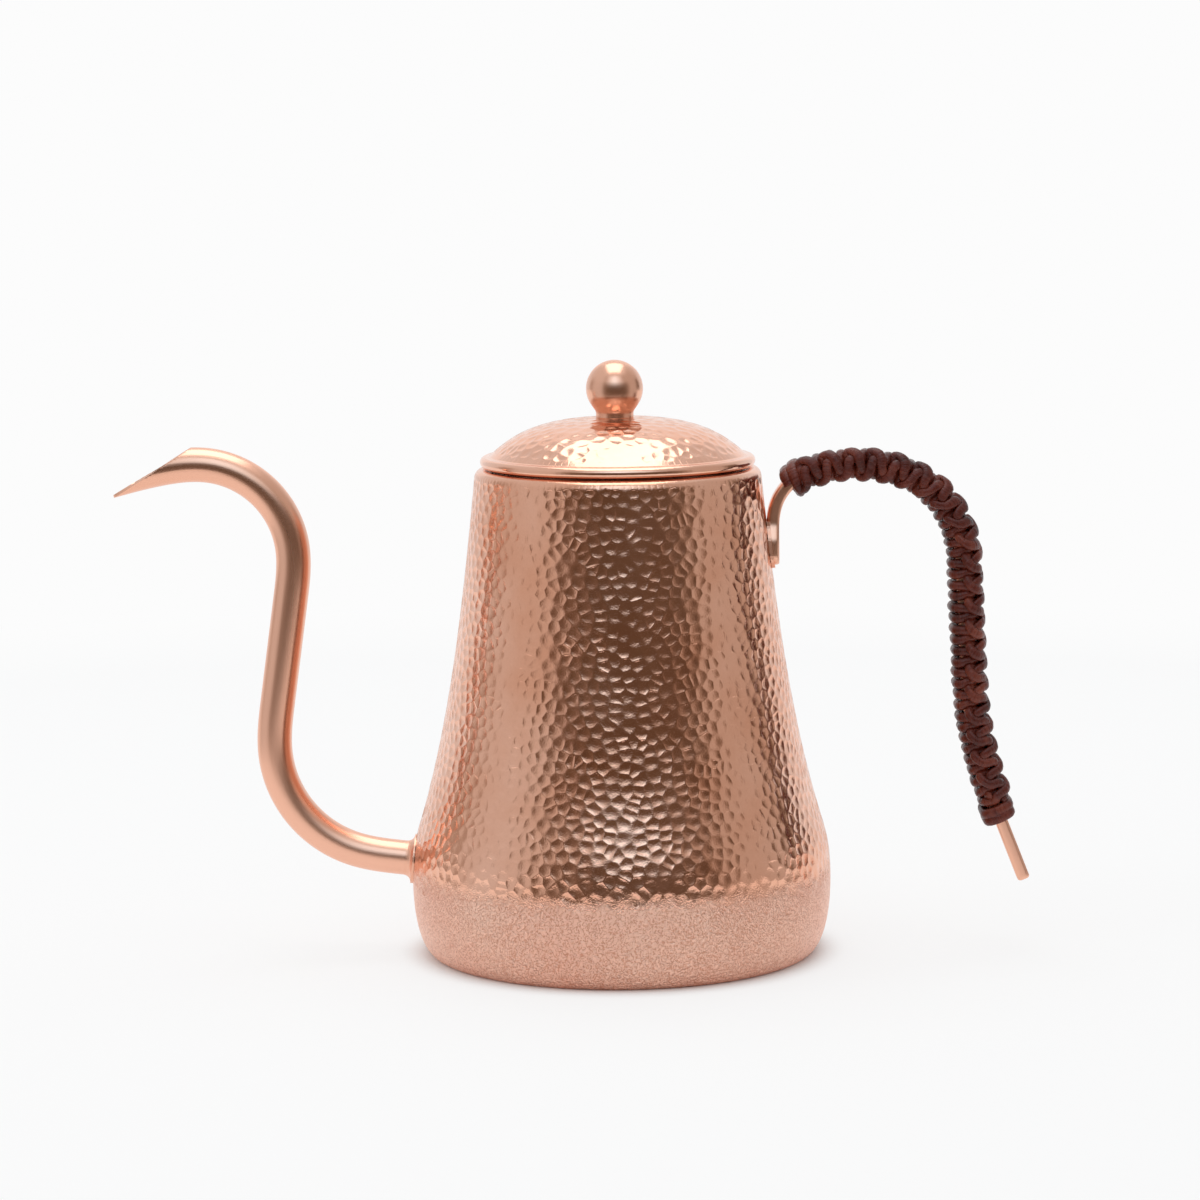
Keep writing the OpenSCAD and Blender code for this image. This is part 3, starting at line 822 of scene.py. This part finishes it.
def hammered_body():
    """One shell, tinned inside: base, plain heel, hammered wall, rolled shoulder, turned-down neck."""
    wall = wall_line()
    over = wall + arc_line(SHOULDER_C, SHOULDER_R, SHOULDER_LEAN + 6, 90, 14)
    surface = Turned(over, True)
    low, high = (float(np.interp(z, surface.z, surface.s)) for z in (FIELD_LOW, FIELD_HIGH))
    rnd = random.Random(SEED)
    marks = courses(surface, low + COURSES_IN[0], high - COURSES_IN[1], BODY_GAP, BODY_COURSE, rnd)
    fringe = low + FRINGE_H
    marks = [m for m in marks if m[1] > fringe - FRINGE_FALL * rnd.random() ** FRINGE_THIN]
    marks += guards(low, BODY_STEPS, FLATS_IN[0], 1)
    marks += guards(high, BODY_STEPS, FLATS_IN[1], -1)
    marks = settle(surface, marks, low + MARKS_IN[0], high - MARKS_IN[1])
    heel = between(wall, 0, FIELD_LOW)
    base = [Vector((FOOT_R * f, 0)) for f in (0, 0.3, 0.6, 0.85)]
    shoulder = arc_line(SHOULDER_C, SHOULDER_R, SHOULDER_LEAN + 14, 90, 8)
    lip = arc_line((NECK_R + LIP_R, SHOULDER_TOP - LIP_R), LIP_R, 90, 180, 6)
    upper = between(over, FIELD_HIGH, SHOULDER_TOP) + lip + [Vector((NECK_R, SHOULDER_TOP - NECK_H))]
    skin = base + wall[::20] + [wall[-1]] + shoulder[::2] + lip[2::2] + upper[-1:]
    lining = beside(skin, WALL)
    bm = bmesh.new()
    spin_line(bm, base + heel[::3] + heel[-1:], BODY_STEPS, 0)
    spin_line(bm, upper, BODY_STEPS, 0)
    spin_line(bm, lining, BODY_STEPS, 1)
    spin_line(bm, [upper[-1], lining[-1]], BODY_STEPS, 1)
    beat(bm, surface, marks)
    close_up(bm)
    make_piece("hammered_body", bm, "kettle", [HAMMERED, TIN], ("body_shell",))


# ---------- lid ----------

ROLL_C = Vector((ROLL_CENTRE_R, SHOULDER_TOP + SEAT_GAP + ROLL_R))
DOME_TOP = ROLL_C.y + DOME_RISE
EDGE_IN, EDGE_UP = 1.3, 0.25  # the dome's edge, in from the roll's middle and over its top
DOME_EDGE = Vector((ROLL_C.x - EDGE_IN, ROLL_C.y + ROLL_R + EDGE_UP))
DOME_STEPS, DOME_GAP, DOME_COURSE = 112, 4.1, 3.7
# where the dome's courses begin and end, its flat cells lie and its last marks can be
DOME_FIRST, DOME_LAST, DOME_FLATS, DOME_MARKS = 3.0, 1.0, 0.5, 1.25
KNOB_TURN_A, KNOB_STEPS = 32, 96


def hammered_dome():
    """The lid's dome, hammered all over, with its rim rolled under around a smooth bead."""
    rise = DOME_TOP - DOME_EDGE.y
    control = [(0, DOME_TOP), (0.55 * DOME_EDGE.x, DOME_TOP),
               (0.78 * DOME_EDGE.x, DOME_EDGE.y + 0.7 * rise), tuple(DOME_EDGE)]
    dome = [Vector((0, DOME_TOP))] + curve_line(control, 90)
    surface = Turned(dome, False)
    high = float(surface.s[-1])
    rnd = random.Random(SEED + 1)
    marks = courses(surface, DOME_FIRST, high - DOME_LAST, DOME_GAP, DOME_COURSE, rnd)
    marks += guards(high, DOME_STEPS, DOME_FLATS, -1)
    marks = settle(surface, marks, 0, high - DOME_MARKS)
    bm = bmesh.new()
    roll = arc_line(ROLL_C, ROLL_R, 100, -165, 28)
    lining = beside(dome[::6] + roll, -WALL)
    spin_line(bm, [dome[-1]] + roll, DOME_STEPS, 0)
    spin_line(bm, lining, DOME_STEPS, 0)
    spin_line(bm, [roll[-1], lining[-1]], DOME_STEPS, 0)
    beat(bm, surface, marks)
    close_up(bm)
    make_piece("hammered_dome", bm, "lid", [DOME_COPPER], ("lid_dome",))


def ball_knob():
    """The ball with its hollow neck curve, standing in the dome's top."""
    ball = arc_line((0, KNOB_RISE), KNOB_R, 90, -KNOB_TURN_A, 40)
    a = math.radians(KNOB_TURN_A)
    leave = Vector((-math.sin(a), -math.cos(a)))
    neck = [tuple(ball[-1]), tuple(ball[-1] + 0.35 * KNOB_RISE * leave),
            (KNOB_NECK_R, 0.3 * KNOB_RISE), (KNOB_NECK_R, -0.5 * WALL)]
    line = [Vector((0, ball[0].y))] + ball[1:] + curve_line(neck, 16) + [Vector((0, -0.5 * WALL))]
    bm = bmesh.new()
    spin_line(bm, [p + Vector((0, DOME_TOP)) for p in line], KNOB_STEPS)
    close_up(bm)
    bmesh.ops.translate(bm, verts=bm.verts, vec=(-KNOB_OFFSET * MM, 0, 0))
    make_piece("ball_knob", bm, "lid", [KNOB_COPPER], ("lid_knob",))


# ---------- spout ----------

EASE_STEP, BEND_STEP = 1.0, 2.0
SPOUT_SIDES, SPOUT_EASE = 48, 7
# the tube runs on past the beak's tip, and the cut reaches this far back and down from its last bend
BEAK_SPARE, CUT_BACK, CUT_DOWN = 1, 45, 40
SPOUT_EDGE, EDGE_A = 0.16, 50


def swan_neck():
    """The bent tube with its slanting beak."""
    bm = bmesh.new()
    ring = bmesh.ops.create_circle(bm, cap_ends=False, segments=SPOUT_SIDES,
                                   radius=SPOUT_R * MM)["verts"]
    bmesh.ops.rotate(bm, verts=ring, cent=(0, 0, 0), matrix=Matrix.Rotation(math.radians(90), 3, "Y"))
    section = bm.verts.layers.float_vector.new("section")
    for v in bm.verts:
        v[section] = v.co
    path = eased(SPOUT_PATH, SPOUT_EASE, EASE_STEP)
    last, place, heading = follow(bm, list(bm.edges), path, BEND_STEP)
    parts = bmesh.ops.extrude_edge_only(bm, edges=last)["geom"]
    ahead = Vector((math.cos(heading), 0, math.sin(heading)))
    bmesh.ops.translate(bm, verts=verts_of(parts), vec=ahead * (BEAK_L + BEAK_SPARE) * MM)
    over = Vector((-math.sin(heading), 0, math.cos(heading)))
    tip = place + ahead * BEAK_L * MM - over * SPOUT_R * MM
    a = math.radians(BEAK_CUT_A)
    normal = ahead * math.sin(a) + over * math.cos(a)
    beak = [v for v in bm.verts
            if (v.co - place).dot(ahead) > -CUT_BACK * MM and v.co.z > place.z - CUT_DOWN * MM]
    near = set(beak)
    geom = beak + [e for e in bm.edges if near.issuperset(e.verts)]
    geom += [f for f in bm.faces if near.issuperset(f.verts)]
    bmesh.ops.bisect_plane(bm, geom=geom, dist=1e-7, plane_co=tip, plane_no=normal, clear_outer=True)
    root = (Matrix.Scale(-1, 4, (1, 0, 0)) @ Matrix.Translation((BELLY_R * MM, 0, SPOUT_ROOT_H * MM))
            @ Matrix.Rotation(math.radians(-SPOUT_ROOT_A), 4, "Y")
            @ Matrix.Translation((-SPOUT_ENTRY * MM, 0, 0)))
    bmesh.ops.transform(bm, matrix=root, verts=bm.verts)
    bmesh.ops.recalc_face_normals(bm, faces=bm.faces)
    outside = bm.faces[0]
    middle = outside.calc_center_median()
    if outside.normal.dot(middle - Vector((middle.x, 0, SPOUT_ROOT_H * MM))) < 0:
        bmesh.ops.reverse_faces(bm, faces=bm.faces)
    piece = make_piece("swan_neck", bm, "kettle", [SPOUT_COPPER], ("spout_tube",))
    wall = piece.modifiers.new("wall", "SOLIDIFY")
    wall.thickness = SPOUT_WALL * MM
    wall.offset = -1
    wall.use_even_offset = True
    edge = piece.modifiers.new("edge", "BEVEL")
    edge.width = SPOUT_EDGE * MM
    edge.segments = 2
    edge.limit_method = "ANGLE"
    edge.angle_limit = math.radians(EDGE_A)


# ---------- laced grip ----------

LACE_START, LACE_END, HITCHES = 29.0, 25.0, 42
FIRST_HITCH = 0.8  # where the first hitch lies, in pitches from the lace's start
LACE_D = 2.8
WOBBLE, WOBBLES = 0.13, 5  # how far the lace strays, and how often in a hitch
CREASES, CREASED = ((0.10, 0.5), (0.05, 1.5)), 1.6  # (depth, closeness) of creases, and their share
# the round core that the lace is laid on before it goes onto the bar, and at which height the two agree
CORE_R, LAID_OUT_AT = 2.78, 2.0
# how flat the lace lies, and where it starts to be pressed flatter still, in mm over the bar
LACE_FLAT, PRESSED_OVER, PRESSED = 0.9, 2.9, 0.62
WHIP_TURNS, WHIP_PITCH, WHIP_D, WHIP_POINTS = 2.35, 2.2, 3.1, 90
WHIP_OVER, WHIP_BULGE = 1.6, 0.9  # height of a whipping's line over the core, and its bulge
# where the whippings begin, before the lace's start and after its end, and how their turns lean
WHIP_BEFORE, WHIP_AFTER, TOP_LEAN, END_LEAN = 4.4, 0.2, 0.9, -0.7

# drawing the lace snug: rounds and points; how near two stretches may lie, as a share of the lace, and
# how far along they count as neighbours; then the shares of a push apart, a push off the core, the
# longest push, the smoothing and the pull back to where the lace was laid
SNUG_ROUNDS, SNUG_POINTS, NEAREST, NEIGHBOURS = 90, 112, 0.9, 1.4
PUSH_APART, PUSH_OUT, LONGEST_PUSH, SMOOTHING, PULL_BACK = 0.1, 0.6, 0.2, 0.16, 0.03

# how far the ridge of hitches has wandered from the bar's side edge: (mm along the bar, degrees)
RIDGE_WANDER = [(0, 2), (58, 2), (90, 52), (118, 52), (140, 30), (170, 26)]

# one hitch of the lace: (along in pitches, degrees around from the ridge, layers of lace over the bar)
HITCH = [(-1.45, -50, 1.5), (-1.0, -30, 1.9), (-0.62, -4, 1.9), (-0.3, 22, 1.65), (-0.08, 50, 1.15),
         (0, 90, 1), (0, 135, 1), (0, 180, 1), (0, 225, 1), (0, 270, 1), (0, 315, 1),
         (-0.10, 338, 1), (-0.27, 360, 1), (-0.42, 382, 1), (-0.52, 402, 1.1)]

BAR_EASE, BAR_ROW, BAR_STEP = 4, 0.5, 0.8
END_ROUND = 0.8
BURIED = 0.4  # how deep the foot's underside goes into the body's wall
CORNER_ROWS = 9


def bar_points():
    """Middle line of the bar: arc length, place and heading at close steps, in mm and radians."""
    foot_h = SHOULDER_TOP - FOOT_DROP
    wall = wall_line()
    wall_r = float(np.interp(foot_h, [p.y for p in wall], [p.x for p in wall]))
    x, z, a, s = wall_r + FOOT_STAND - BAR_T / 2, foot_h, math.radians(90), 0.0
    rows = [(s, x, z, a)]
    for length, radius, angle in eased([(FOOT_L, 0, 0)] + BAR_PATH, BAR_EASE, EASE_STEP):
        turn = math.radians(angle)
        length = length or radius * abs(turn)
        n = max(1, round(length / BAR_ROW))
        for _ in range(n):
            a += turn / n / 2
            x += length / n * math.cos(a)
            z += length / n * math.sin(a)
            a += turn / n / 2
            s += length / n
            rows.append((s, x, z, a))
    return np.array(rows)


BAR = bar_points()
BAR_L = BAR[-1, 0]


def bent(points):
    """Points given as (along, sideways, outward) in mm, carried onto the bent bar, in metres."""
    s = points[:, 0]
    x, z, a = (np.interp(s, BAR[:, 0], BAR[:, i]) for i in (1, 2, 3))
    out = points[:, 2]
    return np.column_stack([x - out * np.sin(a), points[:, 1], z + out * np.cos(a)]) * MM


def bar_size(s):
    """Width and thickness of the bar at s along it, as shares of its plain section."""
    corner = 0.3 * FOOT_W
    part = min(1, max(0, (s / FOOT_L - 0.5) / 0.5))
    wide = FOOT_W + (BAR_W - FOOT_W) * part * part * (3 - 2 * part)
    if s < corner:
        wide -= 2 * corner - 2 * math.sqrt(corner ** 2 - (corner - s) ** 2)
    over = 1 - min(1, min(s, BAR_L - s) / END_ROUND)
    lost = END_ROUND * (1 - math.sqrt(1 - over * over))
    return (wide - 2 * lost) / BAR_W, (BAR_T - 2 * lost) / BAR_T


def bent_bar():
    """The handle's bar, drawn out straight, then bent; its foot lies on the body's wall."""
    bm = bmesh.new()
    y, n, e = BAR_W / 2 - BAR_EDGE_R, BAR_T / 2 - BAR_EDGE_R, BAR_EDGE_R
    corners = ((y, n, 0), (-y, n, 90), (-y, -n, 180), (y, -n, 270))
    ring = [p for cy, cn, a in corners for p in arc_line((cy, cn), e, a, a + 90, 5)]
    section = bm.verts.layers.float_vector.new("section")
    verts = [bm.verts.new((0, p.x, p.y)) for p in ring]
    for v in verts:
        v[section] = v.co * MM
    last = [bm.edges.new(pair) for pair in zip(verts, verts[1:] + verts[:1])]
    bm.faces.new(verts)
    rounded = [END_ROUND * (1 - math.cos(math.radians(a))) for a in (20, 40, 60, 75, 90)]
    plain = np.linspace(END_ROUND, BAR_L - END_ROUND, round(BAR_L / BAR_STEP))[1:-1]
    bmesh.ops.scale(bm, verts=verts, vec=(1, *bar_size(0)))
    here = 0.0
    for s in rounded + list(plain) + [BAR_L - r for r in rounded[::-1]] + [BAR_L]:
        parts = bmesh.ops.extrude_edge_only(bm, edges=last)["geom"]
        last, level = edges_of(parts), verts_of(parts)
        (wide, thick), (wide0, thick0) = bar_size(s), bar_size(here)
        bmesh.ops.scale(bm, verts=level, vec=(1, wide / wide0, thick / thick0))
        bmesh.ops.translate(bm, verts=level, vec=(s - here, 0, 0))
        here = s
    bmesh.ops.contextual_create(bm, geom=last)
    bmesh.ops.recalc_face_normals(bm, faces=bm.faces)
    wall = wall_line()
    heights, radii = [q.y for q in wall], [q.x for q in wall]
    for v, place in zip(bm.verts, bent(np.array([v.co for v in bm.verts]))):
        v.co = place
        x, y, z = place
        wall_r = (float(np.interp(z / MM, heights, radii)) - BURIED) * MM
        if z < FLARE_TOP_H * MM and math.hypot(x, y) < wall_r:
            v.co.x = math.sqrt(wall_r ** 2 - y ** 2)
    make_piece("bent_bar", bm, "kettle", [BAR_COPPER], ("handle_bar",))


def bar_outline():
    """Around the bar from its side edge over its outer face: share of the way, place and direction."""
    rows = []
    for cy, cn, start in ((-1, -1, 270), (-1, 1, 180), (1, 1, 90), (1, -1, 0)):
        for i in range(CORNER_ROWS):
            a = math.radians(start - i * 90 / (CORNER_ROWS - 1))
            centre = (cy * (BAR_W / 2 - BAR_EDGE_R), cn * (BAR_T / 2 - BAR_EDGE_R))
            rows.append((*centre, math.cos(a), math.sin(a)))
    rows = np.array(rows)
    laid = rows[:, :2] + rows[:, 2:] * (BAR_EDGE_R + LAID_OUT_AT)
    steps = np.linalg.norm(np.diff(np.vstack([laid, laid[:1]]), axis=0), axis=1)
    share = np.concatenate([[0], np.cumsum(steps)])
    middle = (share[CORNER_ROWS - 1] + share[CORNER_ROWS]) / 2
    return (share - middle) / share[-1], np.vstack([rows, rows[:1]])


SHARE, OUTLINE = bar_outline()


def on_bar(angle, height):
    """Sideways and outward places of points at an angle around the bar and a height over it."""
    share = (angle / TURN - SHARE[0]) % 1 + SHARE[0]
    cy, cn, dy, dn = (np.interp(share, SHARE, OUTLINE[:, i]) for i in range(4))
    size = np.hypot(dy, dn)
    dy, dn = dy / size, dn / size
    reach = BAR_EDGE_R + height
    return cy + dy * reach, cn + dn * reach


def hitch_unit(pitch):
    """Two hitches of the lace around a round core, drawn snug; the path repeats after 2 pitches."""
    rows = []
    for k, way in ((0, 1), (1, -1)):
        for s, angle, layer in HITCH:
            r = CORE_R + (layer - 0.5) * LACE_D
            a = math.radians(way * angle)
            rows.append(((s + k) * pitch, r * math.sin(a), r * math.cos(a)))
    period = np.array([2 * pitch, 0, 0])
    closed = np.vstack([rows, rows[0] + period])
    length = np.concatenate([[0], np.cumsum(np.linalg.norm(np.diff(closed, axis=0), axis=1))])
    count = SNUG_POINTS
    at = np.linspace(0, length[-1], count, endpoint=False)
    p = home = np.column_stack([np.interp(at, length, closed[:, i]) for i in range(3)])
    own = np.abs(np.arange(count)[:, None] - np.arange(-2 * count, 3 * count)[None])
    near = own < math.ceil(NEIGHBOURS * LACE_D / (length[-1] / count))
    for _ in range(SNUG_ROUNDS):
        cloud = np.vstack([p + period * k for k in range(-2, 3)])
        gap = p[:, None] - cloud[None]
        dist = np.linalg.norm(gap, axis=2) + 1e-9
        over = np.clip(NEAREST * LACE_D - dist, 0, None)
        over[near] = 0
        push = (gap / dist[..., None] * over[..., None]).sum(1) * PUSH_APART
        r = np.hypot(p[:, 1], p[:, 2]) + 1e-9
        sunk = np.clip(CORE_R + LACE_D / 2 - r, 0, None)
        push[:, 1:] += p[:, 1:] / r[:, None] * sunk[:, None] * PUSH_OUT
        size = np.linalg.norm(push, axis=1) + 1e-9
        push *= np.minimum(1, LONGEST_PUSH / size)[:, None]
        ring = np.vstack([p[-1] - period, p, p[0] + period])
        p = p + push + ((ring[2:] + ring[:-2]) / 2 - p) * SMOOTHING + (home - p) * PULL_BACK
    return p, period


def ridge_turn(s):
    """How far the ridge of hitches has wandered at s, in radians."""
    return np.radians(np.interp(s, *zip(*RIDGE_WANDER)))


def on_grip(points):
    """Points around the round core, x along it, carried onto the bar and pressed flat, in metres."""
    x, y, z = points.T
    height = (np.hypot(y, z) - CORE_R) * LACE_FLAT
    height = np.where(height > PRESSED_OVER, PRESSED_OVER + (height - PRESSED_OVER) * PRESSED, height)
    side, out = on_bar(np.arctan2(y, z) + ridge_turn(x), height)
    return bent(np.column_stack([x, side, out]))


def lay_lace(name, line, diameter, stands_for):
    """A creased lace along a line around the round core, closed at both ends."""
    data = bpy.data.curves.new(name, "CURVE")
    data.dimensions = "3D"
    spline = data.splines.new("POLY")
    spline.points.add(len(line) - 1)
    for point, p in zip(spline.points, line):
        point.co = (*p, 1)
    data.bevel_depth = diameter / 2
    data.bevel_resolution = 5
    holder = bpy.data.objects.new(name + "_line", data)
    bpy.context.scene.collection.objects.link(holder)
    bpy.context.view_layer.update()
    mesh = bpy.data.meshes.new_from_object(holder)
    bpy.data.objects.remove(holder)
    bm = bmesh.new()
    bm.from_mesh(mesh)
    around = len(bm.verts) // len(line)
    length = np.concatenate([[0], np.cumsum(np.linalg.norm(np.diff(line, axis=0), axis=1))]) * MM
    along = bm.verts.layers.float.new("along")
    places = []
    for i, v in enumerate(bm.verts):
        middle = Vector(line[min(i // around, len(line) - 1)])
        v[along] = length[min(i // around, len(line) - 1)]
        crease = sum(depth * hum(v.co * close) for depth, close in CREASES)
        places.append(middle + (v.co - middle) * (1 + crease * 2 / diameter * CREASED))
    for v, place in zip(bm.verts, on_grip(np.array(places))):
        v.co = place
    bmesh.ops.holes_fill(bm, edges=[e for e in bm.edges if e.is_boundary], sides=0)
    bmesh.ops.recalc_face_normals(bm, faces=bm.faces)
    make_piece(name, bm, "kettle", [LEATHER], stands_for)


def hitched_grip():
    """The lace's hitches, alternately left and right, and a whipping at each end."""
    pitch = (BAR_L - LACE_START - LACE_END) / HITCHES
    unit, period = hitch_unit(pitch)
    rnd = np.random.default_rng(SEED)
    line = np.vstack([unit + period * k for k in range(HITCHES // 2)])
    wobble = rnd.normal(0, WOBBLE, (HITCHES * WOBBLES, 3))
    at, rows = np.linspace(0, len(wobble) - 1, len(line)), np.arange(len(wobble))
    line = line + np.column_stack([np.interp(at, rows, wobble[:, i]) for i in range(3)])
    line[:, 0] += LACE_START + FIRST_HITCH * pitch
    lay_lace("hitched_lace", line, LACE_D, ("grip_lace_over", "grip_lace_under"))
    turns = np.linspace(0, WHIP_TURNS, WHIP_POINTS)
    top, end = LACE_START - WHIP_BEFORE, BAR_L - LACE_END + WHIP_AFTER
    for name, node, start, lean in (("top_whipping", "grip_whipping_top", top, TOP_LEAN),
                                    ("end_whipping", "grip_whipping_bottom", end, END_LEAN)):
        r = CORE_R + WHIP_OVER + WHIP_BULGE * np.sin(np.pi * turns / turns[-1])
        a = TURN * turns
        along = start + turns * WHIP_PITCH + lean * np.sin(a)
        lay_lace(name, np.column_stack([along, r * np.sin(a), r * np.cos(a)]), WHIP_D, (node,))


# ---------- finish ----------

def dress(node, material):
    """Gives a CAD node its finish."""
    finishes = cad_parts[node].data.materials
    finishes.clear()
    finishes.append(material)


HAMMERED = hammered_copper()
DOME_COPPER = copper("dome_copper", 0.1, 0.18, 700, 0.04 * MM)
SPOUT_COPPER = copper("spout_copper", 0.24, 0.34, 900, 0.03 * MM, drawn=True)
KNOB_COPPER = copper("knob_copper", 0.22, 0.3, 900, 0.02 * MM, (0.06, 0.06, 1))
BAR_COPPER = copper("bar_copper", 0.24, 0.36, 900, 0.05 * MM, drawn=True)
BRAZE = copper("braze", 0.26, 0.4, 900, 0.08 * MM)
TIN = tin()
LEATHER = lace_leather()
BRASS = plain_brass()

set_stage()
hammered_body()
hammered_dome()
ball_knob()
swan_neck()
bent_bar()
hitched_grip()
for node, material in (("spout_braze", BRAZE), ("handle_braze", BRAZE),
                       ("lid_collar", SPOUT_COPPER), ("knob_washer", BRASS), ("knob_screw", BRASS)):
    dress(node, material)
